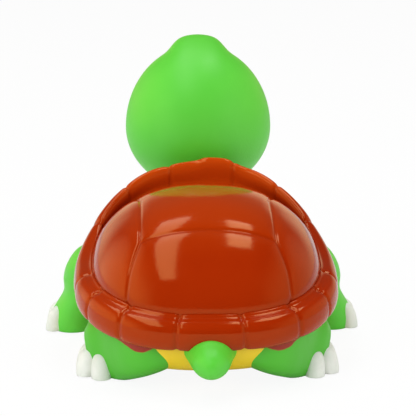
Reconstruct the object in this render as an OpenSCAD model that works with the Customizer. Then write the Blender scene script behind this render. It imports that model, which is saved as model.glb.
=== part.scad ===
// Squeaky turtle bath toy: hollow soft castings round a reed squeaker.
// Frame: Z is up and zero on the floor, the toy faces -Y, its left side is +X.

/* [Shell] */
// Width of the shell across its rim
shell_w = 74; // [70:1:78]
// From the shell's centre back to the rim's rear edge
shell_rear = 37; // [35:1:39]
// From the shell's centre forward to the rim's front edge
shell_front = 39; // [37:1:41]
// Tilt of the shell with its front up, in degrees
shell_tilt = 8; // [6:1:10]
// Height of the shell's centre above the floor
shell_z = 24; // [23:0.5:26]
// Rise of the front rim behind the neck
collar_rise = 15.5; // [14:0.5:17]
// Rise of the front rim's lower edge over the neck
collar_lift = 5; // [4:0.5:6]
// Dip of the rear rim over the tail
rear_dip = 2.5; // [1.5:0.5:3]
// Width of the rim's band
rim_w = 4.5; // [4:0.25:5.5]
// Height of the rim's band
rim_h = 8; // [7:0.5:9]
// Height of the dome above the shell's centre
dome_h = 23.5; // [22.5:0.5:25]
// Height of the dome's skirt inside the rim
skirt_h = 3; // [2.5:0.25:4]
// Number of scutes round the rim
scutes = 14; // [10:2:18]
// Depth of the grooves between the rim's scutes
groove_depth = 0.7; // [0.3:0.1:1.2]

/* [Castings] */
// Wall of the soft castings
wall = 2; // [1.5:0.25:2.5]
// Play between the dome and the rim that it slides in
slide_gap = 0.3; // [0.2:0.05:0.5]
// Gap left for glue between fixed castings
seam_gap = 0.2; // [0.1:0.05:0.3]
// Length of a plug inside the belly's wall
plug_len = 3; // [2:0.5:4]

/* [Belly] */
// Width of the belly's flat bottom
belly_w = 34; // [30:1:38]
// From the shell's centre back to the end of the flat bottom
belly_rear = 25; // [23:1:27]
// From the shell's centre forward to the end of the flat bottom
belly_front = 22; // [20:1:24]
// Height of the belly's bottom above the floor
belly_z = 4; // [3.5:0.25:5]

/* [Head] */
// Width of the head
head_w = 45; // [42:1:47]
// Depth of the head from face to nape
head_d = 39; // [36:1:40]
// Height of the crown above the head's centre
head_up = 25.5; // [24:0.5:27]
// Depth of the jaw below the head's centre
head_down = 20; // [18:0.5:22]
// Height of the head's centre above the floor
head_z = 55; // [54:0.5:58]
// From the shell's centre forward to the head's centre
head_reach = 60; // [59:0.5:64]
// Height of the neck's root above the floor
neck_z = 23; // [22:0.5:25]
// Diameter of the neck
neck_d = 22; // [20:0.5:23]
// How far the muzzle stands out
muzzle_out = 4; // [3:0.5:6]
// How far the brow stands up
brow_up = 4; // [2:0.5:5]
// Diameter of an eyeball
eye_d = 13; // [11:0.5:14]
// Gap between the two eyeballs
eye_gap = 1.2; // [0.8:0.1:2.4]
// Height of the eyes above the head's centre
eye_up = 11; // [9:0.5:13]
// How far an eyeball stands out of the head
eye_out = 3.5; // [2.5:0.25:4]
// Diameter of a pupil's ball
pupil_d = 6; // [5:0.25:7]
// How far a pupil stands out of its eye
pupil_out = 0.5; // [0.3:0.1:0.8]

/* [Legs and tail] */
// From the shell's side out to the fore foot's centre
fore_past = 2.5; // [1:0.5:4]
// From the shell's centre forward to the fore foot's centre
fore_fwd = 29; // [27:0.5:31]
// Width of the fore foot, front to back
fore_w = 15; // [13:0.5:17]
// Thickness of the fore foot, inside to outside
fore_t = 13; // [11:0.5:14]
// Height of the fore leg's shoulder
fore_top = 28; // [26:0.5:30]
// Diameter of the fore leg's plug
fore_plug_d = 8; // [6:0.5:8.5]
// From the shell's side in to the hind foot's tip
hind_inset = 4.75; // [3.5:0.25:5.5]
// From the shell's centre back to the hind foot's tip
hind_back = 15.5; // [14.5:0.5:16.5]
// Width of the hind foot
hind_w = 15.5; // [14:0.5:17]
// Height of the hind foot
hind_h = 17; // [16:0.5:18]
// Height of the hind leg's middle where it leaves the belly
hind_z = 12.5; // [11.5:0.5:13]
// Diameter of the hind leg's plug
hind_plug_d = 6; // [5:0.5:7]
// Diameter of a claw
claw_d = 4.8; // [4:0.2:5.4]
// Height of a claw
claw_h = 7; // [6:0.25:8]
// Angle between neighbouring claws, in degrees
claw_turn = 43; // [41:1:46]
// Length of the tail outside the rim
tail_len = 7; // [6:0.5:9]
// Diameter of the tail at its root
tail_d = 11; // [9:0.5:12]
// Height of the tail's middle above the floor
tail_z = 10.5; // [10:0.25:12]
// Diameter of the tail's plug
tail_plug_d = 4; // [3:0.5:4.5]
// Diameter of the tail's round tip
tip_d = 7; // [5:0.5:8]

/* [Squeaker] */
// Diameter of the housing's flange
flange_d = 18; // [16:0.5:20]
// Thickness of the housing's flange
flange_t = 1.2; // [1:0.1:1.6]
// Outer diameter of the housing's tube
tube_d = 12; // [11:0.25:13]
// Wall of the housing's tube
tube_wall = 1.2; // [1:0.1:1.4]
// Length of the tube above the flange
tube_len = 13; // [12:0.5:15]
// Diameter of the sound hole
sound_d = 3; // [2.5:0.25:3.5]
// Play of the reed's blocks in the tube
block_gap = 0.1; // [0.05:0.01:0.15]
// Thickness of the reed
reed_t = 0.3; // [0.25:0.01:0.35]
// Width of the reed
reed_w = 4; // [3.5:0.25:5]
// Play on each face of the reed in its slot
reed_gap = 0.15; // [0.12:0.01:0.2]
// Height of the clamp that holds the reed's root
clamp_h = 2.4; // [2:0.1:2.8]
// Width of the air channel under the reed
channel_w = 2.4; // [1.5:0.1:2.8]
// Depth of the air channel
channel_d = 1.8; // [1.2:0.1:2.2]

/* [Hidden] */

$fn = 48;
// How far a cutter runs past what it cuts
overrun = 2;

// Columns of points: round the rim, the dome, the belly, the head and a limb
column_shares = [0, 0.06, 0.15, 0.5, 0.85, 0.94];
dome_columns = 56;
belly_columns = 56;
head_columns = 40;
limb_columns = 20;

// Section of the rim from its lower inner corner, shares of its width and height
rim_shares = [
    [0, -0.5], [0.4, -0.5], [0.85, -0.47], [1, -0.28], [1, 0.04],
    [0.8, 0.31], [0.45, 0.48], [0.12, 0.5], [0, 0.4]
];
// Squareness of the plan, rear and front: share that turns a circle into a box
plan_rear_share = 0.78;
plan_front_share = 0.94;
// Angles between which the rim climbs to its collar
climb_from = 88;
climb_to = 166;
// Height of the dome's edge on the rim, share of the rim's height
dome_edge_share = 0.8;
// Fullness of the dome's side, rear and front: the lower the share, the fuller
dome_side_share = 0.98;
dome_rear_share = 1.15;
dome_front_share = 1.25;
// Where the belly's wall stands under the rim, share of the rim's width
belly_under_share = 0.5;
// Fullness of the belly's side
belly_full_share = 0.9;

// Shell's place: the whole toy is centred on the floor's origin
muzzle_reach = head_reach + head_d / 2 + muzzle_out;
tail_reach = shell_rear + tail_len;
shell_y = (muzzle_reach - tail_reach) / 2;

// Powers that keep the sign, a smooth step and small vector helpers
function signed_pow(a, p) = sign(a) * pow(abs(a), p);
function clamp01(a) = min(1, max(0, a));
function smooth(a) = let (t = clamp01(a)) t * t * (3 - 2 * t);
function unit(v) = v / norm(v);
function blend(a, b, t) = a + (b - a) * t;
function bell(a) = exp(-a * a);
function knoll(a) = exp(-pow(a, 6));
function bezier(a, b, c, t) = (1 - t) * (1 - t) * a + 2 * t * (1 - t) * b + t * t * c;
function bezier_way(a, b, c, t) = unit((1 - t) * (b - a) + t * (c - b));

// Shell's own frame, tilted about X, to the toy's frame
function to_toy(p) = [
    p.x,
    shell_y + p.y * cos(shell_tilt) + p.z * sin(shell_tilt),
    shell_z - p.y * sin(shell_tilt) + p.z * cos(shell_tilt)
];

// Plan of the shell at an angle from the rear, set in from its outer edge
function plan_share(a) = cos(a) > 0 ? plan_rear_share : plan_front_share;
function plan(a, inset) = [
    (shell_w / 2 - inset) * signed_pow(sin(a), plan_share(a)),
    ((cos(a) > 0 ? shell_rear : shell_front) - inset) * signed_pow(cos(a), plan_share(a))
];
function from_rear(a) = let (t = abs(a) % 360) t > 180 ? 360 - t : t;
function climb(a) = smooth((from_rear(a) - climb_from) / (climb_to - climb_from));
function rim_dip(a) = rear_dip * pow(max(0, cos(a)), 2);
// Rim's top and bottom lines: its front is drawn up into the collar
function rim_top(a) = collar_rise * climb(a) - rim_dip(a) + rim_h / 2;
function rim_low(a) = collar_lift * climb(a) - rim_dip(a) - rim_h / 2;

// Angles of the rim's columns: each scute has close columns at its two grooves
scute_turn = 360 / scutes;
rim_angles = [
    for (i = [0 : scutes - 1], s = column_shares) scute_turn * (i + s - 1 / 2)
];
function groove(i) = i % len(column_shares) == 0 ? groove_depth : 0;

function rim_section(i) = let (a = rim_angles[i], g = groove(i)) [
    for (s = rim_shares)
        let (out = s.x * rim_w, keep = 1 - g * s.x / rim_w)
            to_toy(concat(plan(a, rim_w - out * keep), blend(rim_low(a), rim_top(a), 1 / 2 + s.y * keep)))
];

// Closed skin over a list of rings that turn counterclockwise about the way they go
module loft(rings, first, last) {
    n = len(rings[0]);
    k = len(rings);
    points = concat([for (r = rings) each r], [first, last]);
    sides = [
        for (j = [0 : k - 2], i = [0 : n - 1])
            let (a = j * n + i, b = j * n + (i + 1) % n)
                each [[a, a + n, b + n], [a, b + n, b]]
    ];
    starts = [for (i = [0 : n - 1]) [i, (i + 1) % n, k * n]];
    ends = [for (i = [0 : n - 1]) [(k - 1) * n + (i + 1) % n, (k - 1) * n + i, k * n + 1]];
    polyhedron(points, concat(sides, starts, ends), convexity = 8);
}

// Closed skin over rings that meet again, as round a hoop
module hoop(rings) {
    n = len(rings[0]);
    k = len(rings);
    faces = [
        for (j = [0 : k - 1], i = [0 : n - 1])
            let (a = j * n + i, b = j * n + (i + 1) % n, c = ((j + 1) % k) * n)
                each [[a, c + i, c + (i + 1) % n], [a, c + (i + 1) % n, b]]
    ];
    polyhedron([for (r = rings) each r], faces, convexity = 8);
}

// Turns a shape's Z axis along a way, at a place
module along(place, way) {
    translate(place)
        rotate([0, acos(way.z), atan2(way.y, way.x)])
            children();
}

// Floor: everything below it is cut flat
module below_floor() {
    size = 4 * shell_w;
    translate([0, 0, -size / 2])
        cube(size, center = true);
}

// Dome in the shell's frame: a ring at a share of its rise, set in for the inner side
function dome_base(a) = rim_low(a) + dome_edge_share * rim_h;
function dome_share(a) = blend(
    dome_side_share, cos(a) > 0 ? dome_rear_share : dome_front_share, pow(cos(a), 2));
function dome_ring(rise, inset) = [
    for (i = [0 : dome_columns - 1])
        let (
            a = -360 * i / dome_columns,
            edge = plan(a, rim_w + slide_gap + inset),
            up = pow(sin(90 * rise), dome_share(a))
        )
            to_toy(concat(edge * cos(90 * rise), blend(dome_base(a), dome_h - inset, up)))
];
function dome_skirt(drop, inset) = [
    for (i = [0 : dome_columns - 1])
        let (a = -360 * i / dome_columns)
            to_toy(concat(plan(a, rim_w + slide_gap + inset), dome_base(a) - drop))
];
dome_rise_shares = [0.08, 0.17, 0.27, 0.38, 0.5, 0.63, 0.78, 0.91];

module shell_dome() {
    color("sienna")
        loft(
            concat(
                [for (i = [len(dome_rise_shares) - 1 : -1 : 0]) dome_ring(dome_rise_shares[i], wall)],
                [dome_skirt(0, wall), dome_skirt(skirt_h, wall)],
                [dome_skirt(skirt_h, 0), dome_skirt(0, 0)],
                [for (r = dome_rise_shares) dome_ring(r, 0)]
            ),
            to_toy([0, 0, dome_h - wall]),
            to_toy([0, 0, dome_h])
        );
}

module shell_rim() {
    color("saddlebrown")
        difference() {
            hoop([for (i = [0 : len(rim_angles) - 1]) rim_section(i)]);
            tail_seat();
            neck_hole();
        }
}

// Belly pan: from the rim's underside at 0 down to its flat bottom at 1
function belly_top(a, inset) = to_toy(concat(
    plan(a, rim_w * belly_under_share + inset), rim_low(a) - seam_gap));
function belly_low(a, inset) = [
    (belly_w / 2 - inset) * signed_pow(sin(a), plan_share(a)),
    shell_y + ((cos(a) > 0 ? belly_rear : belly_front) - inset) * signed_pow(cos(a), plan_share(a)),
    belly_z + inset
];
function belly_point(a, down, inset) = let (
    top = belly_top(a, inset),
    low = belly_low(a, inset),
    far = pow(cos(90 * down), belly_full_share),
    drop = pow(sin(90 * down), belly_full_share)
) [blend(low.x, top.x, far), blend(low.y, top.y, far), blend(top.z, low.z, drop)];
belly_step_share = 0.01;
function belly_way(a, down) = unit(cross(
    belly_point(a + 1, down, 0) - belly_point(a - 1, down, 0),
    belly_point(a, down + belly_step_share, 0) - belly_point(a, down - belly_step_share, 0)));
function belly_ring(down, inset) = [
    for (i = [0 : belly_columns - 1]) belly_point(360 * i / belly_columns, down, inset)
];
belly_downs_shares = [0, 0.12, 0.26, 0.42, 0.6, 0.8, 1];

module plastron() {
    color("gold")
        difference() {
            loft(
                concat(
                    [for (i = [len(belly_downs_shares) - 1 : -1 : 0])
                        belly_ring(belly_downs_shares[i], wall)],
                    [for (d = belly_downs_shares) belly_ring(d, 0)]
                ),
                [0, shell_y, belly_z + wall],
                [0, shell_y, belly_z]
            );
            neck_hole();
            tail_hole();
            tail_seat();
            for (side = [-1, 1]) {
                plug_hole(fore_root(side), fore_way(side), fore_plug_d);
                plug_hole(hind_root(side), hind_way(side), hind_plug_d);
            }
            translate([0, shell_y, belly_z - overrun])
                cylinder(d = tube_d + 2 * seam_gap, h = wall + 2 * overrun);
        }
}

// Round hole through the belly's wall for a plug
module plug_hole(place, way, d) {
    along(place - way * (wall + overrun), way)
        cylinder(d = d + 2 * seam_gap, h = wall + 2 * overrun);
}

// Toy's outside without its limbs: limb forms are cut back to it
function rim_under(a, inset) = to_toy(concat(plan(a, inset), rim_low(a) - seam_gap));
function rim_over(a) = to_toy(concat(plan(a, -seam_gap), rim_top(a)));
function around(kind) = [
    for (i = [0 : belly_columns - 1])
        let (a = 360 * i / belly_columns)
            kind == "over" ? rim_over(a) : rim_under(a, -seam_gap)
];
module inside_toy() {
    loft(
        concat(
            [around("over"), around("under")],
            [for (d = belly_downs_shares) belly_ring(d, -seam_gap)]
        ),
        to_toy([0, 0, collar_rise + rim_h]),
        [0, shell_y, belly_z - seam_gap]
    );
}

// Limbs: where each leaves the belly's wall, and the way its plug points
fore_angle = 122;
fore_down_share = 0.2;
hind_angle = 54;
hind_down_share = 0.4;
function mirrored(p, side) = [side * p.x, p.y, p.z];
function fore_root(side) = mirrored(belly_point(fore_angle, fore_down_share, 0), side);
function fore_way(side) = mirrored(belly_way(fore_angle, fore_down_share), side);
function hind_root(side) = mirrored(belly_point(hind_angle, hind_down_share, 0), side);
function hind_way(side) = mirrored(belly_way(hind_angle, hind_down_share), side);

// Ring across a way: half width level, half height square to both, a little boxy
limb_full_share = 0.8;
function ring(place, way, wide, high, columns) = let (
    level = unit(cross([0, 0, 1], way)),
    steep = cross(way, level)
) [
    for (i = [0 : columns - 1])
        let (a = 360 * i / columns)
            place + level * wide * signed_pow(cos(a), limb_full_share)
            + steep * high * signed_pow(sin(a), limb_full_share)
];

// Form of a limb along a bent line: stations of share along, width and height
module limb_form(from, knee, foot, w, h, stations) {
    loft(
        [for (s = stations)
            ring(bezier(from, knee, foot, s.x), bezier_way(from, knee, foot, s.x),
                s.y * w / 2, s.z * h / 2, limb_columns)],
        from,
        foot
    );
}

// Limb cut back to the toy's outside and to the floor, with its plug and core hole
module limb(root, way, plug_d) {
    inside = root - way * (wall + plug_len);
    difference() {
        union() {
            difference() {
                children(0);
                inside_toy();
                below_floor();
            }
            along(inside, way)
                cylinder(d = plug_d, h = wall + plug_len + wall / 2);
        }
        along(inside - way * overrun, way)
            cylinder(d = plug_d - wall, h = wall + plug_len + overrun);
        children(1);
    }
}

// Claws of a foot: three round-topped nubs that stand on the floor round its tip
claw_lean_share = 0.2;
claw_shares = [[0, 0.9], [0.2, 1], [0.5, 1], [0.72, 0.86], [0.88, 0.6], [0.96, 0.34]];
claw_columns = 16;
claw_ring_r = (claw_d + seam_gap) / (2 * sin(claw_turn / 2)) + claw_h * claw_lean_share;
function claw_ring(place, way, s, grow) = [
    for (i = [0 : claw_columns - 1])
        let (a = 360 * i / claw_columns, r = s.y * claw_d / 2 + grow)
            place - way * (s.x * claw_h * claw_lean_share)
            + [r * cos(a), r * sin(a), s.x * (claw_h + grow)]
];
module claws(centre, heading, grow) {
    for (i = [-1 : 1]) {
        a = heading + i * claw_turn;
        way = [cos(a), sin(a), 0];
        place = centre + way * claw_ring_r;
        loft(
            [for (s = claw_shares) claw_ring(place, way, s, grow)],
            place,
            place - way * (claw_h * claw_lean_share) + [0, 0, claw_h + grow]
        );
    }
}

// Fore legs: columns of level rings, shares of height, way in, thickness, width and way back
fore_shares = [
    [0, 0.06, 1.02, 0.98, 0], [0.11, 0.06, 1.1, 1.04, 0], [0.25, 0.16, 1, 1, 0.06],
    [0.43, 0.33, 0.94, 1, 0.18], [0.6, 0.41, 1.08, 1.08, 0.28], [0.75, 0.5, 1.08, 1.1, 0.36],
    [0.89, 0.6, 0.88, 0.94, 0.4], [0.97, 0.66, 0.5, 0.56, 0.42]
];
fore_heading = -22;
fore_out = shell_w / 2 + fore_past;
fore_claw_share = 0.4;
function fore_foot(side) = [side * fore_out, shell_y - fore_fwd, 0];
function fore_spot(side, s) = fore_foot(side)
    + [-side * s[1] * fore_t, s[4] * fore_w, s[0] * fore_top];
function fore_ring(side, s) = [
    for (i = [0 : limb_columns - 1])
        let (a = 360 * i / limb_columns)
            fore_spot(side, s) + [s[2] * fore_t * cos(a), s[3] * fore_w * sin(a), 0] / 2
];
module fore_form(side) {
    high = fore_shares[len(fore_shares) - 1];
    loft(
        [for (s = fore_shares) fore_ring(side, s)],
        fore_spot(side, fore_shares[0]),
        fore_spot(side, [1, high[1], 0, 0, high[4]])
    );
}
module fore_leg(side) {
    color("limegreen")
        limb(fore_root(side), fore_way(side), fore_plug_d) {
            fore_form(side);
            fore_claws(side, seam_gap);
        }
}
module fore_claws(side, grow) {
    turn = side > 0 ? fore_heading : 180 - fore_heading;
    reach = fore_t * fore_claw_share - claw_ring_r;
    claws(fore_foot(side) + reach * [cos(turn), sin(turn), 0], turn, grow);
}
module foreleg_left() fore_leg(1);
module foreleg_right() fore_leg(-1);
module foreclaws_left() {
    color("white")
        fore_claws(1, 0);
}
module foreclaws_right() {
    color("white")
        fore_claws(-1, 0);
}

// Hind legs: paddles that lie on the floor
hind_shares = [
    [0, 0.8, 0.6], [0.2, 1.22, 0.84], [0.35, 1.38, 0.98], [0.5, 1.3, 1.04], [0.65, 1.06, 1.04],
    [0.8, 0.7, 0.94], [0.92, 0.44, 0.76], [1, 0.24, 0.45]
];
hind_heading = 39;
hind_out = shell_w / 2 - hind_inset;
// Middle of the hind claws' ring: in from the foot's tip and forward of it
hind_claw_in = 5.3;
hind_claw_fwd = 4.45;
hind_rise_share = 0.4;
hind_from_shares = [0.2, 1.03];
function hind_foot(side) = [side * hind_out, shell_y + hind_back, hind_h * hind_rise_share];
function hind_from(side) = [
    side * belly_w * hind_from_shares.x,
    shell_y + belly_rear * hind_from_shares.y,
    hind_z
];
function hind_knee(side) = blend(hind_from(side), hind_foot(side), 1 / 2);
module hind_leg(side) {
    color("limegreen")
        limb(hind_root(side), hind_way(side), hind_plug_d) {
            limb_form(hind_from(side), hind_knee(side), hind_foot(side),
                hind_w, hind_h, hind_shares);
            hind_claws(side, seam_gap);
        }
}
module hind_claws(side, grow) {
    turn = side > 0 ? hind_heading : 180 - hind_heading;
    tip = hind_foot(side);
    claws([tip.x - side * hind_claw_in, tip.y - hind_claw_fwd, 0], turn, grow);
}
module hindleg_left() hind_leg(1);
module hindleg_right() hind_leg(-1);
module hindclaws_left() {
    color("white")
        hind_claws(1, 0);
}
module hindclaws_right() {
    color("white")
        hind_claws(-1, 0);
}

// Tail: a turned cone with a round tip, its plug through the belly's rear wall
tail_place = [0, belly_top(0, 0).y - wall / 2, tail_z];
tail_way = [0, 1, 0];
tail_long = shell_y + tail_reach - tail_place.y;
module tail_seat() {
    along(tail_place - tail_way * seam_gap, tail_way)
        cylinder(d = tail_d + 2 * seam_gap, h = tail_long + overrun);
}
module tail_hole() {
    along(tail_place - tail_way * (wall + overrun), tail_way)
        cylinder(d = tail_plug_d + 2 * seam_gap, h = wall + 2 * overrun);
}
module tail() {
    straight = tail_long / 3;
    round_at = tail_long - tip_d / 2;
    color("limegreen")
        along(tail_place, tail_way)
            rotate_extrude()
                union() {
                    translate([0, -wall / 2])
                        square([tail_plug_d / 2, wall]);
                    polygon([
                        [0, 0], [tail_d / 2, 0], [tail_d / 2, straight],
                        [tip_d / 2, round_at], [0, round_at]
                    ]);
                    intersection() {
                        translate([0, round_at])
                            circle(d = tip_d);
                        square([tail_d, tail_long]);
                    }
                }
}

// Head and neck: one hollow casting, open at the neck
neck_way = [0, -1, 0];
// Neck's root: its plug ends clear of the dome and rakes back into the belly below
neck_rake_share = 0.3;
// How much the neck widens up to the nape
neck_flare_share = 0.18;
neck_place = [0, belly_top(180, wall / 2).y, neck_z];
head_place = [0, shell_y - head_reach, head_z];
nape_lat = -52;
// How far the nape's middle lies behind the head's, and how far the throat is tucked in
nape_back = 2.5;
throat_tuck = 5;
nape_place = head_place + [0, nape_back, head_down * sin(nape_lat)];
neck_out = neck_place + neck_way * (wall + rim_w);
// Line that the neck's rings fan about, from upright at the collar to level at the nape
neck_pivot = [0, neck_out.y, nape_place.z];
module neck_hole() {
    along(neck_place - neck_way * neck_d, neck_way)
        cylinder(d = neck_d + 2 * seam_gap, h = 2 * neck_d);
}
head_lats = [-40, -28, -16, -4, 8, 20, 32, 43, 53, 62, 70, 77, 84];
// Muzzle: angle round the head and height angle, middle and spread
muzzle_lat = -10;
muzzle_turn = 42;
muzzle_tall = 26;
// Brow: shares of the head's width and depth
brow_fwd_share = 0.22;
brow_w_share = 0.19;
brow_d_share = 0.26;
function head_point(lat, a, inset) = let (
    far = cos(lat),
    up = sin(lat),
    tall = up < 0 ? head_down : head_up,
    x = (head_w / 2 - inset) * far * sin(a),
    y = (head_d / 2 - inset) * far * cos(a),
    z = (tall - inset) * up,
    front = 180 - abs(a),
    snout = muzzle_out * bell(front / muzzle_turn) * bell((lat - muzzle_lat) / muzzle_tall),
    brow = up < 0 ? 0 : brow_up * knoll(x / (head_w * brow_w_share))
        * bell((y + head_d * brow_fwd_share) / (head_d * brow_d_share)) * up
) head_place + [x, y - snout, z + brow];
// Rings turn counterclockwise about the way from the neck to the crown
function head_ring(lat, inset) = [
    for (i = [0 : head_columns - 1]) head_point(lat, 180 - 360 * i / head_columns, inset)
];
function neck_ring(t, inset) = let (
    out = [0, -sin(90 * t), -cos(90 * t)],
    tuck = throat_tuck / 2 * sin(180 * t),
    reach = blend(nape_place.z - neck_z, neck_out.y - nape_place.y, t) - tuck,
    r = neck_d / 2 * (1 + neck_flare_share * t * t) - inset
) [
    for (i = [0 : head_columns - 1])
        let (a = 180 - 360 * i / head_columns)
            neck_pivot + [r * sin(a), 0, 0] + out * (reach - (r - tuck) * cos(a))
];
neck_shares = [0, 0.2, 0.4, 0.6, 0.8, 1];
function neck_start(inset) = [
    for (p = neck_ring(0, inset))
        [p.x, neck_place.y + (neck_z + neck_d / 2 - p.z) * neck_rake_share, p.z]
];
module head_form() {
    last = len(head_lats) - 1;
    loft(
        concat(
            [for (i = [last : -1 : 0]) head_ring(head_lats[i], wall)],
            [for (i = [len(neck_shares) - 1 : -1 : 0]) neck_ring(neck_shares[i], wall)],
            [neck_start(wall), neck_start(0)],
            [for (t = neck_shares) neck_ring(t, 0)],
            [for (l = head_lats) head_ring(l, 0)]
        ),
        head_point(90, 0, wall),
        head_point(90, 0, 0)
    );
}
module head() {
    color("limegreen")
        difference() {
            head_form();
            eye_ball(1);
            eye_ball(-1);
        }
}

// Eyes: balls sunk in the face, each with a round pocket for its pupil
eye_lat = asin(eye_up / head_up);
eye_look = 12;
eye_skin_x = (eye_d + eye_gap) / 2 + (eye_d / 2 - eye_out) * sin(eye_look);
eye_turn = asin(eye_skin_x / (head_w / 2 * cos(eye_lat)));
function eye_skin(side) = head_point(eye_lat, 180 - side * eye_turn, 0);
function eye_way(side) = [side * sin(eye_look), -cos(eye_look), 0];
function eye_place(side) = eye_skin(side) - eye_way(side) * (eye_d / 2 - eye_out);
// Bottom of the pupil's pocket, from the ball's centre
pocket_at = sqrt(pow(eye_d / 2, 2) - pow(pupil_d / 2, 2)) - pupil_out;
module eye_ball(side) {
    translate(eye_place(side))
        sphere(d = eye_d + 2 * seam_gap);
}
module eye(side) {
    color("white")
        along(eye_place(side), eye_way(side))
            rotate_extrude()
                difference() {
                    intersection() {
                        circle(d = eye_d);
                        translate([0, -eye_d])
                            square(2 * eye_d);
                    }
                    translate([-overrun, pocket_at])
                        square([overrun + pupil_d / 2 + seam_gap, eye_d]);
                }
}
module pupil(side) {
    color("black")
        along(eye_place(side), eye_way(side))
            rotate_extrude()
                intersection() {
                    circle(d = eye_d + 2 * pupil_out);
                    translate([0, pocket_at + seam_gap])
                        square([pupil_d / 2, eye_d]);
                }
}
module eye_left() eye(1);
module eye_right() eye(-1);
module pupil_left() pupil(1);
module pupil_right() pupil(-1);

// Squeaker: a flanged tube in the belly, a channelled block, a reed and its clamp
squeaker_z = belly_z - seam_gap - flange_t;
deck_z = squeaker_z + flange_t;
bore_d = tube_d - 2 * tube_wall;
block_d = bore_d - 2 * block_gap;
slot = reed_t + 2 * reed_gap;
module squeaker_housing() {
    color("ivory")
        translate([0, shell_y, squeaker_z])
            difference() {
                union() {
                    cylinder(d = flange_d, h = flange_t);
                    cylinder(d = tube_d, h = flange_t + tube_len);
                }
                translate([0, 0, flange_t])
                    cylinder(d = bore_d, h = tube_len + overrun);
                translate([0, -sound_d / 2 - slot / 2, -overrun])
                    cylinder(d = sound_d, h = flange_t + 2 * overrun);
            }
}
// Half of a round block, on the side of the slot that the sign gives
module half_block(side, h) {
    intersection() {
        cylinder(d = block_d, h = h);
        translate([-block_d, side > 0 ? slot / 2 : -slot / 2 - block_d, -overrun])
            cube([2 * block_d, block_d, h + 2 * overrun]);
    }
}
block_h = tube_len - overrun;
module reed_block() {
    color("silver")
        translate([0, shell_y, deck_z + block_gap])
            difference() {
                half_block(-1, block_h);
                translate([-channel_w / 2, -slot / 2 - channel_d, -overrun])
                    cube([channel_w, channel_d + overrun, block_h]);
            }
}
module reed_clamp() {
    color("gray")
        translate([0, shell_y, deck_z + block_gap])
            half_block(1, clamp_h);
}
module squeaker_reed() {
    color("orange")
        translate([-reed_w / 2, shell_y - reed_t / 2, deck_z + block_gap + reed_gap])
            cube([reed_w, reed_t, block_h - reed_gap]);
}

shell_dome();
shell_rim();
plastron();
head();
eye_left();
eye_right();
pupil_left();
pupil_right();
foreleg_left();
foreleg_right();
hindleg_left();
hindleg_right();
foreclaws_left();
foreclaws_right();
hindclaws_left();
hindclaws_right();
tail();
squeaker_housing();
reed_block();
squeaker_reed();
reed_clamp();
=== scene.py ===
from math import acos, atan2, copysign, cos, exp, hypot, pi, radians, sin

import bmesh
import bpy
from mathutils import Matrix, Vector


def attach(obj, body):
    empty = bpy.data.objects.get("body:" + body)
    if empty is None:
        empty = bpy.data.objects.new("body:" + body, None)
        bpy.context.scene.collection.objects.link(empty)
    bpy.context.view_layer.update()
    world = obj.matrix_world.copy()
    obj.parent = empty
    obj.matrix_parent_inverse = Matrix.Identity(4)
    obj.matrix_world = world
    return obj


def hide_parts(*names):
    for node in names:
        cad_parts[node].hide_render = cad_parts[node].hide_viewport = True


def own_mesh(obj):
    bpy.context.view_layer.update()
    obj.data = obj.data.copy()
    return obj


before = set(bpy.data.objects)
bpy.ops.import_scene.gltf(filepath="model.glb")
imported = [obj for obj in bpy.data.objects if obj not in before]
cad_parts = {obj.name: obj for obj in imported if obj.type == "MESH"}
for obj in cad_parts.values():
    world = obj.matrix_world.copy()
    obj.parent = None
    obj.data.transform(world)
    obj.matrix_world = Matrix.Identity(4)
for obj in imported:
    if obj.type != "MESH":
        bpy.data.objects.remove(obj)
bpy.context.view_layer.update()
scene = bpy.context.scene
scene.view_settings.view_transform = "Standard"
mm = 0.001  # every shape below is written in millimetres
print("frame loaded:", len(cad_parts), "nodes")


# Curve maths
def smooth(t):
    t = min(1, max(0, t))
    return t * t * (3 - 2 * t)


def bell(t):
    return exp(-t * t)


def mix(a, b, t):
    return a + (b - a) * t


def signedPow(a, power):
    return copysign(abs(a) ** power, a)


def through(stations, at):  # smooth values at a place along a list of (place, value, ...)
    places = [s[0] for s in stations]
    last = len(places) - 1
    at = min(places[last], max(places[0], at))
    i = min(last - 1, sum(p <= at for p in places) - 1)
    before, a, b, after = (stations[max(0, min(last, i + k))] for k in (-1, 0, 1, 2))
    span = b[0] - a[0]
    t = (at - a[0]) / span
    values = []
    for j in range(1, len(a)):
        leave = (b[j] - before[j]) / (b[0] - before[0]) * span
        arrive = (after[j] - a[j]) / (after[0] - a[0]) * span
        values.append((2 * t ** 3 - 3 * t * t + 1) * a[j] + (t ** 3 - 2 * t * t + t) * leave
                      + (3 * t * t - 2 * t ** 3) * b[j] + (t ** 3 - t * t) * arrive)
    return values


def closedCurve(stops, count):  # evenly spaced points on a smooth closed line through the stops
    size, fine, perStop = len(stops), [], 24
    for i in range(size):
        p = [Vector(stops[(i + k) % size]) for k in (-1, 0, 1, 2)]
        for k in range(perStop):
            t = k / perStop
            fine.append(0.5 * (2 * p[1] + (p[2] - p[0]) * t
                               + (2 * p[0] - 5 * p[1] + 4 * p[2] - p[3]) * t * t
                               + (3 * p[1] - p[0] - 3 * p[2] + p[3]) * t ** 3))
    steps = [(fine[(i + 1) % len(fine)] - fine[i]).length for i in range(len(fine))]
    points, i, gone = [], 0, 0.0
    for k in range(count):
        want = sum(steps) * k / count
        while gone + steps[i] < want:
            gone += steps[i]
            i += 1
        points.append(fine[i].lerp(fine[(i + 1) % len(fine)], (want - gone) / steps[i]))
    return points


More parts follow.
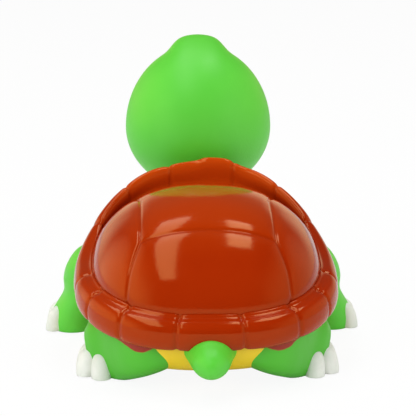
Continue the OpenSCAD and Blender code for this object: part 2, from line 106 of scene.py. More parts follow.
# Mesh starts: a ball or a hoop whose points are then placed one by one
def ball(around, along, place, bm=None, crease=None):  # place(turn from the rear, row from top to bottom)
    bm = bm or bmesh.new()
    layer = bm.verts.layers.float.new("crease") if crease else None
    made = bmesh.ops.create_uvsphere(bm, u_segments=around, v_segments=along, radius=1)
    for vert in made["verts"]:
        x, y, z = vert.co
        turn = atan2(x, y) if hypot(x, y) > 1e-6 else 0
        row = acos(max(-1, min(1, z))) / pi
        vert.co = place(turn, row) * mm
        if crease:
            vert[layer] = crease(turn, row)
    return bm


def hoop(around, section, place, crease=None):  # place(turn from the rear, share round the section)
    bm, reach = bmesh.new(), 3
    layer = bm.verts.layers.float.new("crease") if crease else None
    start = Matrix.Translation((0, reach, 0)) @ Matrix.Rotation(pi / 2, 4, "Y")
    bmesh.ops.create_circle(bm, segments=section, radius=1, matrix=start)
    bmesh.ops.spin(bm, geom=bm.verts[:] + bm.edges[:], cent=(0, 0, 0), axis=(0, 0, 1),
                   angle=2 * pi, steps=around, use_merge=True)
    for vert in bm.verts:
        x, y, z = vert.co
        share = atan2(z, hypot(x, y) - reach) / (2 * pi) % 1
        vert.co = place(atan2(x, y), share) * mm
        if crease:
            vert[layer] = crease(atan2(x, y), share)
    return bm


def finishPiece(bm, name, material, slot, *nodes):
    bmesh.ops.recalc_face_normals(bm, faces=bm.faces)
    for face in bm.faces:
        face.smooth = True
    mesh = bpy.data.meshes.new(name)
    bm.to_mesh(mesh)
    bm.free()
    mesh.materials.append(material)
    piece = bpy.data.objects.new(name, mesh)
    scene.collection.objects.link(piece)
    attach(piece, "body")
    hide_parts(*nodes)
    print("made", name, len(mesh.polygons), "faces")
    return piece


# Shader sockets with maths on them
class Wire:
    def __init__(self, tree, socket=None):
        self.tree, self.socket = tree, socket

    def feed(self, socket, value):
        if isinstance(value, Wire):
            self.tree.links.new(value.socket, socket)
        elif socket.type == "RGBA" and len(value) == 3:
            socket.default_value = (*value, 1)
        else:
            socket.default_value = value

    def node(self, kind, settings=None, inputs=None, out=0):
        made = self.tree.nodes.new(kind)
        for key, value in (settings or {}).items():
            setattr(made, key, value)
        for key, value in (inputs or {}).items():
            self.feed(made.inputs[key], value)
        return Wire(self.tree, made.outputs[out])

    def sum(self, operation, a, b):
        return self.node("ShaderNodeMath", {"operation": operation}, {0: a, 1: b})

    def __add__(self, other):
        return self.sum("ADD", self, other)

    def __sub__(self, other):
        return self.sum("SUBTRACT", self, other)

    def __rsub__(self, other):
        return self.sum("SUBTRACT", other, self)

    def __mul__(self, other):
        return self.sum("MULTIPLY", self, other)

    def __pow__(self, other):
        return self.sum("POWER", self, other)

    __radd__, __rmul__ = __add__, __mul__

    def larger(self, other):
        return self.sum("MAXIMUM", self, other)

    def size(self):
        return self.sum("ABSOLUTE", self, 0)

    def step(self, low, high):  # 0 below low, 1 above high
        return self.node("ShaderNodeMapRange", {"interpolation_type": "SMOOTHSTEP"},
                         {"Value": self, "From Min": low, "From Max": high})

    def noise(self, scale, detail=2, rough=0.5):  # self is a place
        return self.node("ShaderNodeTexNoise", {}, {"Vector": self, "Scale": scale, "Detail": detail,
                                                    "Roughness": rough})

    def tint(self, low, high):  # colour from low to high as self goes from 0 to 1
        return self.node("ShaderNodeMix", {"data_type": "RGBA"}, {0: self, 6: low, 7: high}, 2)

    def bump(self, strength, distance):
        return self.node("ShaderNodeBump", {}, {"Strength": strength, "Distance": distance, "Height": self})

    def axes(self):
        return [self.node("ShaderNodeSeparateXYZ", {}, {0: self}, k) for k in range(3)]


def startFinish(name):
    material = bpy.data.materials.new(name)
    material.use_nodes = True
    tree = Wire(material.node_tree)
    place = tree.node("ShaderNodeTexCoord", out="Object")
    return material, tree, place, material.node_tree.nodes["Principled BSDF"]


def endFinish(tree, shader, **sockets):  # a socket's name with _ for a space
    for name, value in sockets.items():
        tree.feed(shader.inputs[name.replace("_", " ")], value)


# Shell's own frame: x across, v to the rear, z up, tilted with its front raised
shell = {"halfWidth": 37, "rear": 37, "front": 39, "rearFull": 0.78, "frontFull": 0.94,
         "tilt": radians(8), "y": 19.75, "z": 24,
         "climbFrom": radians(88), "climbTo": radians(166), "collarRise": 15.5, "collarLift": 5,
         "rearDip": 2.5, "rimHeight": 8, "rimWidth": 4.5}

# Finishes
# paintedLight and collar are painted light, lighter browns for lit or shaded places; line is painted groove
# shade and also the real specks' tone
brown = {"deep": (0.295, 0.0145, 0.0004), "light": (0.345, 0.021, 0.0007), "line": (0.2, 0.009, 0.0003),
         "paintedLight": (0.43, 0.036, 0.0011), "collar": (0.62, 0.075, 0.004)}
# Painted light: where the dome's top and left side and the front collar are painted lighter, in metres, and
# how much of the lighter tone shows there; painted groove shade; real specks
paintedLightAndSpeck = {"top": (0.033, 0.047), "topShare": 0.8, "left": (0.008, 0.03), "leftShare": 0.4,
        "neck": (-0.01, 0), "neckShare": 0.45, "grooveShadeShare": 0.12, "speckShare": 0.25}
green = {"deep": (0.085, 0.57, 0.030), "light": (0.105, 0.61, 0.038)}
# painted shade: a darker copy of the green, for the hind legs, which read darker under the lighting
shadedGreen = {"deep": (0.062, 0.445, 0.013), "light": (0.075, 0.48, 0.017)}
yellow = {"deep": (0.83, 0.57, 0.004), "light": (0.88, 0.61, 0.006)}
white = {"deep": (0.70, 0.74, 0.66), "light": (0.80, 0.82, 0.76)}
eyeWhite = {"deep": (0.82, 0.82, 0.79), "light": (0.86, 0.86, 0.84)}
black = {"deep": (0.008, 0.008, 0.01), "light": (0.014, 0.014, 0.016)}
ivory = {"deep": (0.72, 0.69, 0.6), "light": (0.8, 0.78, 0.7)}
amber = {"deep": (0.68, 0.3, 0.06), "light": (0.76, 0.36, 0.09)}


def shellFinish():  # sprayed gloss paint on soft vinyl
    material, tree, place, shader = startFinish("glossShell")
    crease = tree.node("ShaderNodeAttribute", {"attribute_name": "crease"}, out="Fac")
    cloud = place.noise(28, 3).step(0.3, 0.7)
    paint = cloud.tint(brown["deep"], brown["light"])
    x, y, z = place.axes()
    # painted light: the dome's top and its left side are tinted to the lighter brown where the lamps fall on
    # them
    paintedLight = (z.step(*paintedLightAndSpeck["top"]) * paintedLightAndSpeck["topShare"]).larger(x.step(*paintedLightAndSpeck["left"]) * paintedLightAndSpeck["leftShare"])
    paint = paintedLight.tint(paint, brown["paintedLight"])
    # painted light: the collar at the front is tinted to a still lighter brown to lift the shade it sits in
    paint = ((1 - y.step(*paintedLightAndSpeck["neck"])) * paintedLightAndSpeck["neckShare"]).tint(paint, brown["collar"])
    # painted shade: the grooves of dome and rim are darkened toward the line brown
    paint = (crease * paintedLightAndSpeck["grooveShadeShare"]).tint(paint, brown["line"])
    speck = place.noise(2600, 1).step(0.72, 0.8)
    paint = (speck * paintedLightAndSpeck["speckShare"]).tint(paint, brown["line"])
    peel = place.noise(900, 2) + place.noise(130, 2) * 1.5
    endFinish(tree, shader, Base_Color=paint, Roughness=0.08 + place.noise(300, 3) * 0.06,
              Normal=peel.bump(0.05, 0.0003), Specular_IOR_Level=0.5, Specular_Tint=(1, 0.6, 0.2))
    return material


def skinFinish(name, overspray, tones):  # satin green vinyl; overspray gives the brown's mask from the place
    material, tree, place, shader = startFinish(name)
    cloud = place.noise(35, 3).step(0.3, 0.7)
    skin = cloud.tint(tones["deep"], tones["light"])
    if overspray:
        skin = overspray(place).tint(skin, brown["deep"])
    grain = place.noise(1500, 2) + place.noise(260, 2)
    endFinish(tree, shader, Base_Color=skin, Roughness=0.37 + place.noise(420, 3) * 0.14,
              Normal=grain.bump(0.12, 0.0003), Specular_IOR_Level=0.5)
    return material


def plainFinish(name, tones, rough, grain, scale=35, overspray=None):  # overspray brings the legs' green too
    material, tree, place, shader = startFinish(name)
    cloud = place.noise(scale, 3).step(0.3, 0.7)
    paint = cloud.tint(tones["deep"], tones["light"])
    if overspray:
        # the legs' green runs onto the belly in its darker, painted-shade tone
        paint = legSpray(place).tint(paint, shadedGreen["deep"])
        paint = overspray(place).tint(paint, brown["deep"])
    endFinish(tree, shader, Base_Color=paint,
              Roughness=rough + place.noise(420, 3) * 0.1,
              Normal=place.noise(1300, 2).bump(grain, 0.0003))
    return material


spill = {"least": 0.0068, "more": 0.0019, "at": 0.019, "spread": 0.007, "soft": 0.0004, "wave": 0.0012,
         "rear": (0.03, 0.036), "legOut": (0.0235, 0.0245), "legRear": (0.026, 0.029)}


def rimSpray(place):  # the rim's brown runs down onto what lies under its rear edge
    x, y, z = place.axes()
    tilt = shell["tilt"]
    below = (z - shell["z"] * mm) * cos(tilt) + (y - shell["y"] * mm) * sin(tilt) + spill["least"]
    hang = (1 - (x.size() - spill["at"]).size().step(0, spill["spread"])) * spill["more"]
    edge = below + hang + (place.noise(260, 2) - 0.5) * spill["wave"]
    return edge.step(0, spill["soft"]) * y.step(*spill["rear"])


def legSpray(place):  # the hind legs' green runs onto the belly beside them
    x, y, z = place.axes()
    return x.size().step(*spill["legOut"]) * y.step(*spill["legRear"])


glossShell = shellFinish()
satinSkin = skinFinish("satinSkin", None, green)
# painted shade: the hind legs get the darker copy of the green
shadedHindSkin = skinFinish("shadedHindSkin", rimSpray, shadedGreen)
satinBelly = plainFinish("satinBelly", yellow, 0.38, 0.1, overspray=rimSpray)
clawPaint = plainFinish("clawPaint", white, 0.4, 0.12, 160)
eyePaint = plainFinish("eyePaint", eyeWhite, 0.1, 0.03)
pupilPaint = plainFinish("pupilPaint", black, 0.08, 0.03)
ivoryPlastic = plainFinish("ivoryPlastic", ivory, 0.35, 0.1)
amberFilm = plainFinish("amberFilm", amber, 0.15, 0.05)
print("finishes made")


# Shell's own frame to the toy's
def toToy(x, v, z):
    c, s = cos(shell["tilt"]), sin(shell["tilt"])
    return Vector((x, shell["y"] + v * c + z * s, shell["z"] - v * s + z * c))


def plan(turn, inset):
    atRear = cos(turn) > 0
    full = shell["rearFull" if atRear else "frontFull"]
    return ((shell["halfWidth"] - inset) * signedPow(sin(turn), full),
            (shell["rear" if atRear else "front"] - inset) * signedPow(cos(turn), full))


def climb(turn):
    return smooth((abs(turn) - shell["climbFrom"]) / (shell["climbTo"] - shell["climbFrom"]))


def rearDip(turn):
    return shell["rearDip"] * max(0, cos(turn)) ** 2


def rimTop(turn):
    return shell["collarRise"] * climb(turn) - rearDip(turn) + shell["rimHeight"] / 2


def rimLow(turn):
    return shell["collarLift"] * climb(turn) - rearDip(turn) - shell["rimHeight"] / 2


# Dome: outside, skirt and inside
dome = {"around": 480, "along": 170, "height": 23.5, "side": 0.98, "rear": 1.15, "front": 1.25,
        "wall": 2, "skirt": 3, "gap": 0.3, "outside": 0.85, "skirtEnd": 0.89, "press": 5, "foot": 2.4,
        "groove": 0.32, "grooveWidth": 0.42, "roll": 0.28, "rollWidth": 1.7, "centre": -25, "baseShare": 0.8,
        "lines": [((0, 15.7), (18.6, 16.3)), ((18.4, -8), (18.6, 16.3)), ((18.6, 16.3), (21.5, 22.7)),
                  ((21.5, 22.7), (25.5, 36)), ((18.4, -8), (23, -36)), ((0, -21), (20, -21))]}


def lineDistance(x, v):
    least = 1e9
    for (ax, av), (bx, bv) in dome["lines"]:
        wayX, wayV = bx - ax, bv - av
        t = ((abs(x) - ax) * wayX + (v - av) * wayV) / (wayX ** 2 + wayV ** 2)
        t = min(1, max(0, t))
        least = min(least, hypot(abs(x) - ax - wayX * t, v - av - wayV * t))
    return least


def domeBase(turn):
    return rimLow(turn) + dome["baseShare"] * shell["rimHeight"]


def domeSkin(turn, rise, inset):
    share = mix(dome["side"], dome["rear" if cos(turn) > 0 else "front"], cos(turn) ** 2)
    up = sin(pi / 2 * rise) ** share
    x, v = (n * cos(pi / 2 * rise) for n in plan(turn, shell["rimWidth"] + dome["gap"] + inset))
    z = mix(domeBase(turn), dome["height"] - inset, up)
    if inset:
        return toToy(x, v, z)
    d = lineDistance(x, v)
    dip = dome["groove"] * bell(d / dome["grooveWidth"]) + dome["roll"] * bell(d / dome["rollWidth"])
    p = Vector((x, v, z))
    return toToy(*(p - (p - Vector((0, 0, dome["centre"]))).normalized() * dip))


def domePlace(turn, row):
    if row <= dome["outside"]:
        return domeSkin(turn, 1 - row / dome["outside"], 0)
    if row <= dome["skirtEnd"]:
        down = (row - dome["outside"]) / (dome["skirtEnd"] - dome["outside"])
        return toToy(*plan(turn, shell["rimWidth"] + dome["gap"]), domeBase(turn) - dome["skirt"] * down)
    return domeSkin(turn, (row - dome["skirtEnd"]) / (1 - dome["skirtEnd"]), dome["wall"])


def domeCrease(turn, row):  # how deep in a groove a point lies, for the painted shade in the grooves
    if row > dome["outside"]:
        return 0
    across = cos(pi / 2 * (1 - row / dome["outside"]))
    x, v = plan(turn, shell["rimWidth"] + dome["gap"])
    return bell(lineDistance(x * across, v * across) / dome["grooveWidth"])


bm = ball(dome["around"], dome["along"], domePlace, None, domeCrease)
domePiece = finishPiece(bm, "shellDome", glossShell, "shell_brown", "shell_dome")
toToy(0, 0, dome["foot"]) * mm
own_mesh(domePiece)

# Rim: a hoop of pillowed scutes, drawn up at the front into the collar
rim = {"around": 672, "section": 56, "crowd": 0.6, "groove": 0.3, "grooveWidth": 0.65, "pillow": 0.25,
       "intoCollar": 2.5, "crestSpan": 0.4,
       "edges": [9.8, 36, 60.5, 81, 118, 141, 165],  # degrees from the rear, on either side
       "rear": [(0.98, 0.02), (0.88, 0.2), (0.7, 0.33), (0.5, 0.395), (0.3, 0.415), (0.12, 0.44),
                (0, 0.485),
                (-0.08, 0.54), (-0.108, 0.53), (-0.06, 0.43), (0, 0.25),  # its lip runs up the dome
                (0, -0.15), (0, -0.46), (0.08, -0.55), (0.45, -0.57), (0.88, -0.52), (1.02, -0.26)],
       "collar": [(1, 0.04), (0.9, 0.24), (0.76, 0.38), (0.58, 0.47), (0.38, 0.5), (0.18, 0.47),
                  (0.06, 0.38),
                  (0.1, 0.28), (0.14, 0.2), (0.04, 0.15), (0, 0.08),
                  (0, -0.15), (0, -0.44), (0.08, -0.5), (0.45, -0.5), (0.85, -0.47), (1, -0.28)],
       "crest": [(-13.5, 0), (-11.6, 0.35), (-9.5, 1.3), (-7.4, 1.95), (-4, 2.1), (-1, 2), (1.4, 1.2),
                 (5, 0.8), (8, 0.5), (10.5, 0)]}  # how much higher the collar's middle scute stands
rimCurves = [closedCurve([(s * shell["rimWidth"], h * shell["rimHeight"]) for s, h in rim[name]],
                         rim["section"]) for name in ("rear", "collar")]
rimEdges = [-a for a in reversed(rim["edges"])] + rim["edges"] + [360 - rim["edges"][-1]]
rimEdges = [radians(a) for a in rimEdges]


def scuteAt(turn):  # the scute's two edges and the true angle, with closer columns at the grooves
    scutes = len(rimEdges) - 1
    at = (turn / (2 * pi) + 0.5) % 1 * scutes
    k = min(scutes - 1, int(at + 1e-6))
    t = at - k
    t -= rim["crowd"] * sin(2 * pi * t) / (2 * pi)
    return rimEdges[k], rimEdges[k + 1], mix(rimEdges[k], rimEdges[k + 1], t)


def edgeGap(turn):  # distances to the nearer and the further groove, and the true angle
    start, end, turn = scuteAt(turn)
    here = Vector(plan(turn, 0))
    near, other = sorted((here - Vector(plan(a, 0))).length for a in (start, end))
    return near, other, (turn + pi) % (2 * pi) - pi


def rimPlace(turn, share):
    near, other, turn = edgeGap(turn)
    i = round(share * rim["section"]) % rim["section"]
    toCollar = min(1, climb(turn) * rim["intoCollar"])
    before, here, after = (rimCurves[0][k % rim["section"]].lerp(rimCurves[1][k % rim["section"]], toCollar)
                           for k in (i - 1, i, i + 1))
    way = (after - before).normalized()
    out, up = here
    middle = 2 * near / (near + other)
    swell = rim["pillow"] * (1 - (1 - middle) ** 3) - rim["groove"] * bell(near / rim["grooveWidth"])
    z = mix(rimLow(turn), rimTop(turn), 0.5 + up / shell["rimHeight"])
    x, v = plan(turn, shell["rimWidth"] - out - swell * way.y)
    if cos(turn) < 0:
        z += through(rim["crest"], x)[0] * smooth(up / shell["rimHeight"] / rim["crestSpan"])
    return toToy(x, v, z - swell * way.x)


# how close a point lies to a groove, for the painted shade in the grooves
def rimCrease(turn, share):
    return bell(edgeGap(turn)[0] / rim["grooveWidth"])


bm = hoop(rim["around"], rim["section"], rimPlace, rimCrease)
finishPiece(bm, "shellRim", glossShell, "shell_brown", "shell_rim")

# Belly pan, open at the top, with the squeaker's hole
belly = {"around": 240, "section": 96, "halfWidth": 17, "rear": 25, "front": 22, "z": 4, "full": 0.9,
         "under": 0.5, "wall": 2, "hole": 6.2, "lap": 0.3, "wallShare": 0.7}


def bellyPoint(turn, down, inset):
    x, v = plan(turn, shell["rimWidth"] * belly["under"] + inset)
    top = toToy(x, v, rimLow(turn) + belly["lap"])
    atRear = cos(turn) > 0
    full = shell["rearFull" if atRear else "frontFull"]
    low = Vector(((belly["halfWidth"] - inset) * signedPow(sin(turn), full),
                  shell["y"] + (belly["rear" if atRear else "front"] - inset) * signedPow(cos(turn), full),
                  belly["z"] + inset))
    far, drop = cos(pi / 2 * down) ** belly["full"], sin(pi / 2 * down) ** belly["full"]
    return Vector((mix(low.x, top.x, far), mix(low.y, top.y, far), mix(top.z, low.z, drop)))


def bellyPlace(turn, share):
    inset, k = (0, share * 2) if share < 0.5 else (belly["wall"], 2 - share * 2)
    if k <= belly["wallShare"]:
        return bellyPoint(turn, k / belly["wallShare"], inset)
    edge = Vector((belly["hole"] * sin(turn), shell["y"] + belly["hole"] * cos(turn), belly["z"] + inset))
    return bellyPoint(turn, 1, inset).lerp(edge, (k - belly["wallShare"]) / (1 - belly["wallShare"]))


bm = hoop(belly["around"], belly["section"], bellyPlace)
finishPiece(bm, "bellyPan", satinBelly, "belly_yellow", "plastron")

# Head and neck: one skin from the crown down to the neck's end inside the shell
head = {"around": 320, "along": 220, "centre": Vector((0, -40.25, 55)), "halfWidth": 22.5, "halfDepth": 19.5,
        "up": 25.5, "down": 20, "muzzle": 4, "muzzleLat": -10, "muzzleTurn": 42, "muzzleTall": 26,
        "brow": 4, "browX": 8.55, "browSquare": 6, "browAt": -8.58, "browDeep": 10.14,
        "headEnd": 0.6, "headLat": -37, "latStep": 2, "neckFrom": 0.68, "neckShare": 0.88, "neckEnd": 0.95,
        "neckTop": 0.85, "belowTop": 0.83,
        "pivot": Vector((0, -21.3, 39.2)), "neckRadius": 11, "neckFlare": 0.18, "throatTuck": 2.5,
        "reachLow": 16.2, "reachHigh": 16.45, "plug": 9,
        "mouthLat": -20, "mouthCurl": 10, "mouthTurn": 50, "mouthDepth": 0.9, "mouthWidth": 0.6,
        "mouthFade": 8, "perDegree": 0.38, "lip": 0.5, "lipAt": 1.6, "lipWidth": 1.1,
        "nostrilTurn": 8, "nostrilLat": 3, "nostrilDepth": 0.9, "nostrilSize": 0.8, "nostrilPerDegree": 0.4,
        "nostrilRim": 0.35, "nostrilRimAt": 1.4, "nostrilRimWidth": 0.6,
        "lid": 1.0, "lidRadius": 7.5, "lidWidth": 1.0}
eye = {"around": 96, "along": 72, "radius": 6.5, "centre": Vector((7.1, -53.9, 66.7)), "look": radians(12),
       "step": 0.25, "stepWidth": 0.06, "pupil": 3, "pupilOut": 0.45, "pupilIn": 0.1, "pupilBack": 0.6,
       "pupilFront": 0.7, "pupilRound": 4, "pupilAround": 64, "pupilAlong": 40}


def headPoint(lat, turn):
    up = sin(radians(lat))
    x = head["halfWidth"] * cos(radians(lat)) * sin(turn)
    y = head["halfDepth"] * cos(radians(lat)) * cos(turn)
    z = (head["down"] if up < 0 else head["up"]) * up
    front = 180 - abs(turn) * 180 / pi
    snout = (head["muzzle"] * bell(front / head["muzzleTurn"])
             * bell((lat - head["muzzleLat"]) / head["muzzleTall"]))
    brow = (head["brow"] * exp(-(x / head["browX"]) ** head["browSquare"])
            * bell((y - head["browAt"]) / head["browDeep"]) * max(0, up))
    p = head["centre"] + Vector((x, y - snout, z + brow))
    if front > 90:
        return p
    curl = head["mouthCurl"] * (front / head["mouthTurn"]) ** 2
    line = (lat - head["mouthLat"] - curl) * head["perDegree"]
    ends = 1 - smooth((front - head["mouthTurn"]) / head["mouthFade"])
    rise = -head["mouthDepth"] * bell(line / head["mouthWidth"]) * ends
    lips = (bell((line - head["lipAt"]) / head["lipWidth"])
            + bell((line + head["lipAt"]) / head["lipWidth"]))
    rise += head["lip"] * lips * ends
    spot = hypot((front - head["nostrilTurn"]) * head["nostrilPerDegree"],
                 (lat - head["nostrilLat"]) * head["nostrilPerDegree"])
    rise -= (head["nostrilDepth"] * bell(spot / head["nostrilSize"])
             - head["nostrilRim"] * bell((spot - head["nostrilRimAt"]) / head["nostrilRimWidth"]))
    fromEye = (Vector((abs(p.x), p.y, p.z)) - eye["centre"]).length
    rise += head["lid"] * bell((fromEye - head["lidRadius"]) / head["lidWidth"])
    return p + (p - head["centre"]).normalized() * rise


def neckPoint(t, turn):
    out = Vector((0, -sin(pi / 2 * t), -cos(pi / 2 * t)))
    tuck = head["throatTuck"] * sin(pi * t)
    r = head["neckRadius"] * (1 + head["neckFlare"] * t * t)
    reach = mix(head["reachLow"], head["reachHigh"], t) - tuck
    return head["pivot"] + Vector((r * sin(turn), 0, 0)) + out * (reach - (r - tuck) * cos(turn))


def headPlace(turn, row):
    if row <= head["headEnd"]:
        return headPoint(mix(90, head["headLat"], row / head["headEnd"]), turn)
    if row < head["neckFrom"]:  # fillet between head and neck
        t = (row - head["headEnd"]) / (head["neckFrom"] - head["headEnd"])
        a, b = headPoint(head["headLat"], turn), neckPoint(head["neckTop"], turn)
        wayA = (a - headPoint(head["headLat"] + head["latStep"], turn)).normalized() * (b - a).length
        wayB = (neckPoint(head["belowTop"], turn) - b).normalized() * (b - a).length
        return ((2 * t ** 3 - 3 * t * t + 1) * a + (t ** 3 - 2 * t * t + t) * wayA
                + (3 * t * t - 2 * t ** 3) * b + (t ** 3 - t * t) * wayB)
    if row <= head["neckShare"]:
        down = head["neckTop"] * (head["neckShare"] - row) / (head["neckShare"] - head["neckFrom"])
        return neckPoint(down, turn)
    p = neckPoint(0, turn)
    inside = min(1, (row - head["neckShare"]) / (head["neckEnd"] - head["neckShare"]))
    p.y += head["plug"] * inside
    if row > head["neckEnd"]:
        middle = Vector((0, p.y, head["pivot"].z - head["reachLow"]))
        p = p.lerp(middle, (row - head["neckEnd"]) / (1 - head["neckEnd"]))
    return p


bm = ball(head["around"], head["along"], headPlace)
finishPiece(bm, "headAndNeck", satinSkin, "skin_green", "head")


def looking(side, angle, turn, radius):  # place on an eye by its angle from the way it looks
    ahead = Vector((side * sin(eye["look"]), -cos(eye["look"]), 0))
    across, up = Vector((side * cos(eye["look"]), sin(eye["look"]), 0)), Vector((0, 0, 1))
    centre = Vector((side * eye["centre"].x, eye["centre"].y, eye["centre"].z))
    return centre + (ahead * cos(angle) + (across * sin(turn) + up * cos(turn)) * sin(angle)) * radius


for side, name in ((1, "left"), (-1, "right")):
    edge = eye["pupil"] / eye["radius"]

    def ballPlace(turn, row):  # eyeball with a shallow step round its pupil
        angle = pi * row
        sunk = eye["step"] * (1 - smooth((angle - edge) / eye["stepWidth"]))
        return looking(side, angle, turn, eye["radius"] - sunk)

    def pupilPlace(turn, row):
        front = eye["pupilFront"]
        if row < front:
            out = eye["pupilOut"] * (1 - (row / front) ** eye["pupilRound"])
            return looking(side, edge * row / front, turn, eye["radius"] - eye["pupilIn"] + out)
        return looking(side, edge * (1 - row) / (1 - front), turn, eye["radius"] - eye["pupilBack"])

    bm = ball(eye["around"], eye["along"], ballPlace)
    finishPiece(bm, "eyeBall." + name, eyePaint, "eye_white", "eye_" + name)
    bm = ball(eye["pupilAround"], eye["pupilAlong"], pupilPlace)
    finishPiece(bm, "eyePupil." + name, pupilPaint, "pupil_black", "pupil_" + name)

# Fore legs: share of height, way in, half thickness, half width and way back
fore = {"around": 96, "along": 110, "foot": (39.5, -9.25), "top": 28, "thick": 13, "wide": 15,
        "topShare": 0.97, "crownRow": 0.08, "crown": 0.03, "legRows": 0.82, "soleRow": 0.1,
        "stations": [(0, 0.06, 1.0, 0.96, 0), (0.05, 0.06, 1.08, 1.02, 0), (0.11, 0.06, 1.1, 1.04, 0),
                     (0.25, 0.16, 1, 1, 0.06), (0.43, 0.33, 0.94, 1, 0.18), (0.6, 0.41, 1.08, 1.08, 0.28),
                     (0.75, 0.5, 1.08, 1.1, 0.36), (0.89, 0.6, 0.88, 0.94, 0.4),
                     (0.97, 0.66, 0.5, 0.56, 0.42)]}
# Hind legs: share along, half width and half height
hind = {"around": 96, "along": 110, "root": (6.8, 45.5, 12.5), "foot": (32.2, 34, 6.8), "wide": 15.5,
        "high": 17, "full": 0.66, "rootRow": 0.06, "legRows": 0.84, "tipRow": 0.1, "tipFrom": 0.9, "tip": 8,
        "floorGap": 0.12,
        "stations": [(0, 0.8, 0.6), (0.2, 1.22, 0.84), (0.35, 1.34, 0.96), (0.5, 1.24, 1.04),
                     (0.65, 0.98, 1.1), (0.8, 0.68, 1.1), (0.92, 0.57, 1.0), (1, 0.42, 0.72)]}
# Claws: each stands at its heading and distance from a middle; the fore ones end just above the sole
claw = {"around": 40, "along": 36, "lean": 0.2, "soleFrom": 0.85, "soleWide": 0.9, "round": 1.2,
        "tipRow": 0.12,
        "fore": {"radius": 2.5, "height": 7.2, "lift": 0.12, "heading": -22, "reach": 5.2,
                 "spots": [(-65, 8.22), (-22, 8.22), (21, 8.22)]},
        "hind": {"radius": 2.85, "height": 7.6, "lift": 0, "middle": (26.7, 31.2),
                 "spots": [(-2, 7.3), (39, 9.1), (73, 9.5)]},
        "stations": [(0, 0.94), (0.2, 1.03), (0.5, 1.02), (0.72, 0.92), (0.88, 0.7), (0.96, 0.42)]}


def clawShape(bm, middle, side, kind):
    for heading, far in kind["spots"]:
        way = Vector((side * cos(radians(heading)), sin(radians(heading)), 0))
        base = middle + way * far

        def clawPlace(turn, row):
            if row > claw["soleFrom"]:
                up, wide = 0, claw["soleWide"] * (1 - row) / (1 - claw["soleFrom"])
            else:
                up = cos(pi / 2 * row / claw["soleFrom"]) ** claw["round"]
                wide = through(claw["stations"], up)[0] * min(1, row / claw["tipRow"])
            r = wide * kind["radius"]
            return (base - way * up * kind["height"] * claw["lean"]
                    + Vector((r * sin(turn), r * cos(turn), kind["lift"] + up * kind["height"])))

        ball(claw["around"], claw["along"], clawPlace, bm)
    return bm


for side, name in ((1, "left"), (-1, "right")):
    def forePlace(turn, row):
        crown = min(1, row / fore["crownRow"])
        up = fore["topShare"] * (1 - max(0, row - fore["crownRow"]) / fore["legRows"])
        scale = crown ** 0.5 if row < fore["crownRow"] else min(1, (1 - row) / fore["soleRow"])
        wayIn, thick, wide, back = through(fore["stations"], max(0, up))
        lift = fore["crown"] * (1 - crown ** 2)
        footX, footY = fore["foot"]
        return Vector((side * (footX - wayIn * fore["thick"]) + scale * thick * fore["thick"] / 2 * sin(turn),
                       footY + back * fore["wide"] + scale * wide * fore["wide"] / 2 * cos(turn),
                       (max(0, up) + lift) * fore["top"]))

    def hindPlace(turn, row):
        along = min(1, max(0, (row - hind["rootRow"]) / hind["legRows"]))
        scale = min(1, row / hind["rootRow"], ((1 - row) / hind["tipRow"]) ** 0.5)
        wide, high = through(hind["stations"], along)
        root, foot = (Vector((side * p[0], p[1], p[2])) for p in (hind["root"], hind["foot"]))
        way = (foot - root).normalized()
        level = Vector((0, 0, 1)).cross(way).normalized()
        tip = max(0, row - hind["tipFrom"]) * hind["tip"]
        p = (root.lerp(foot, along) + way * tip
             + level * scale * wide * hind["wide"] / 2 * signedPow(sin(turn), hind["full"])
             + way.cross(level) * scale * high * hind["high"] / 2 * signedPow(cos(turn), hind["full"]))
        p.z = max(p.z, hind["floorGap"])
        return p

    bm = ball(fore["around"], fore["along"], forePlace)
    finishPiece(bm, "foreLeg." + name, satinSkin, "skin_green", "foreleg_" + name)
    bm = ball(hind["around"], hind["along"], hindPlace)
    finishPiece(bm, "hindLeg." + name, shadedHindSkin, "skin_green", "hindleg_" + name)
    kind = claw["fore"]
    way = Vector((side * cos(radians(kind["heading"])), sin(radians(kind["heading"])), 0))
    middle = Vector((side * fore["foot"][0], fore["foot"][1], 0))
    bm = clawShape(bmesh.new(), middle + way * (kind["reach"] - kind["spots"][0][1]), side, kind)
    finishPiece(bm, "foreClaws." + name, clawPaint, "claw_white", "foreclaws_" + name)
    kind = claw["hind"]
    bm = clawShape(bmesh.new(), Vector((side * kind["middle"][0], kind["middle"][1], 0)), side, kind)
    finishPiece(bm, "hindClaws." + name, clawPaint, "claw_white", "hindclaws_" + name)

# Tail: from the round tip in to its wide root
tailCone = {"around": 96, "along": 80, "flat": 0.9, "round": 5.5, "spread": 0.2, "rootRow": 0.05,
            "tipRow": 0.02,
            "stations": [(0, 63.75, 0.3, 9.8), (0.04, 63.6, 1.1, 9.8), (0.1, 63.2, 2.0, 9.8),
                         (0.2, 62.1, 3.4, 9.9), (0.35, 60.2, 4.6, 10), (0.55, 57.2, 5.5, 10.3),
                         (0.72, 54.4, 6.3, 11), (0.85, 52, 7.5, 12.2), (1, 48, 8.5, 13)]}


def tailPlace(turn, row):
    y, r, z = through(tailCone["stations"], row)
    r *= min(1, (1 - row) / tailCone["rootRow"]) * min(1, row / tailCone["tipRow"])
    high = min(r, tailCone["round"] + (r - tailCone["round"]) * tailCone["spread"]) * tailCone["flat"]
    return Vector((r * sin(turn), y, z + high * cos(turn)))


bm = ball(tailCone["around"], tailCone["along"], tailPlace)
finishPiece(bm, "tailNub", satinSkin, "skin_green", "tail")

# Squeaker's own parts keep their solids and get finishes
for node, finish in (("squeaker_housing", ivoryPlastic), ("reed_block", ivoryPlastic),
                     ("reed_clamp", ivoryPlastic), ("squeaker_reed", amberFilm)):
    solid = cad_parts[node]
    solid.data.materials.clear()
    solid.data.materials.append(finish)
print("pieces made")

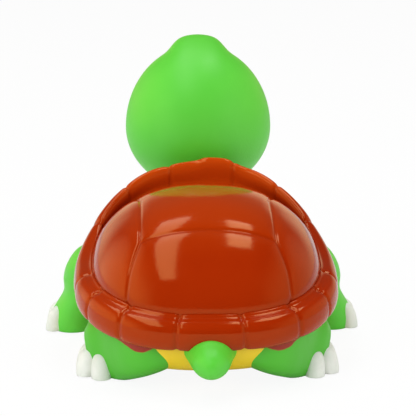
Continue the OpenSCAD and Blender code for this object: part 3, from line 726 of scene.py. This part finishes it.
# Floor, light and camera
floor = {"size": 3, "drop": 0.0003, "colour": (0.9, 0.9, 0.9), "rough": 0.9, "glow": 0.92}
bm = bmesh.new()
bmesh.ops.create_grid(bm, x_segments=1, y_segments=1, size=floor["size"],
                      matrix=Matrix.Translation((0, 0, -floor["drop"])))
floorMesh = bpy.data.meshes.new("floor")
bm.to_mesh(floorMesh)
bm.free()
floorPiece = bpy.data.objects.new("floor", floorMesh)
scene.collection.objects.link(floorPiece)
floorPaint, tree, place, shader = startFinish("floorPaint")
endFinish(tree, shader, Base_Color=floor["colour"], Roughness=floor["rough"])
glow = tree.node("ShaderNodeEmission", {}, {"Color": (1, 1, 1), "Strength": 1})
seen = tree.node("ShaderNodeLightPath", out="Is Camera Ray")
plain = Wire(tree.tree, shader.outputs[0])
mixed = tree.node("ShaderNodeMixShader", {}, {0: seen * floor["glow"], 1: plain, 2: glow})
tree.feed(floorPaint.node_tree.nodes["Material Output"].inputs["Surface"], mixed)
floorMesh.materials.append(floorPaint)

sky = {"ambient": 0.5, "dark": 0.01, "left": 2.05, "right": 1.0, "warm": (1, 0.74, 0.46),
       "side": (0.45, 0.9), "behind": (-0.3, 0.1), "rise": (0.1, 0.45), "fade": 0.85}
world = bpy.data.worlds.new("studio")
scene.world = world
world.use_nodes = True
tree = Wire(world.node_tree)
rayKinds = ("Is Camera Ray", "Is Glossy Ray", "Is Transmission Ray")
ray = [tree.node("ShaderNodeLightPath", out=name) for name in rayKinds]
x, y, z = tree.node("ShaderNodeTexCoord", out="Generated").axes()
backdrop = (1 - y.step(*sky["behind"])) * (1 - z.step(*sky["rise"]) * sky["fade"])  # white, low
near, far = sky["side"]
sides = x.step(near, far) * sky["left"] + (1 - x.step(-far, -near)) * sky["right"]
mirrored = backdrop.larger(sides).larger(sky["dark"])
level = ray[0].larger(ray[2]) + ray[1] * mirrored
level = level.larger((1 - ray[0].larger(ray[2]).larger(ray[1])) * sky["ambient"])
background = world.node_tree.nodes["Background"]
tree.feed(background.inputs["Color"], ray[1].tint((1, 1, 1), sky["warm"]))
tree.feed(background.inputs["Strength"], level)


def softbox(name, at, aim, size, power, mirrored=True, turn=0):
    light = bpy.data.lights.new(name, "AREA")
    light.shape, light.size, light.size_y = "RECTANGLE", size[0], size[1]
    light.energy = power
    lamp = bpy.data.objects.new(name, light)
    lamp.location = at
    facing = (Vector(aim) - Vector(at)).to_track_quat("-Z", "Y").to_matrix()
    lamp.rotation_euler = (facing @ Matrix.Rotation(turn, 3, "Z")).to_euler()
    lamp.visible_glossy = mirrored
    scene.collection.objects.link(lamp)


softbox("leftBox", (0.3, 0.3, 0.95), (0.3, 0.3, 0), (0.27, 1.5), 4.4, turn=radians(-10))
softbox("rightBox", (-0.23, -0.05, 0.95), (-0.23, -0.05, 0), (0.22, 0.5), 1.75)
softbox("leftFill", (0.95, 0.75, 0.45), (0, 0, 0.04), (0.8, 0.8), 5.4, mirrored=False)
softbox("rightFill", (-0.95, 0.75, 0.45), (0, 0, 0.04), (0.8, 0.8), 3.8, mirrored=False)

view = {"target": Vector((0, 0.012, 0.040)), "distance": 0.52, "yaw": radians(2.2), "lift": radians(13.5),
        "lens": 157.5, "sensor": 36, "shift": (0.0084, 0.0096), "clip": (0.01, 20)}
camera = bpy.data.cameras.new("camera")
camera.lens, camera.sensor_width = view["lens"], view["sensor"]
camera.shift_x, camera.shift_y = view["shift"]
camera.clip_start, camera.clip_end = view["clip"]
level = cos(view["lift"])
eyeWay = Vector((sin(view["yaw"]) * level, cos(view["yaw"]) * level, sin(view["lift"])))
cameraPiece = bpy.data.objects.new("camera", camera)
cameraPiece.location = view["target"] + eyeWay * view["distance"]
cameraPiece.rotation_euler = (-eyeWay).to_track_quat("-Z", "Y").to_euler()
scene.collection.objects.link(cameraPiece)
scene.camera = cameraPiece
print("scene set")
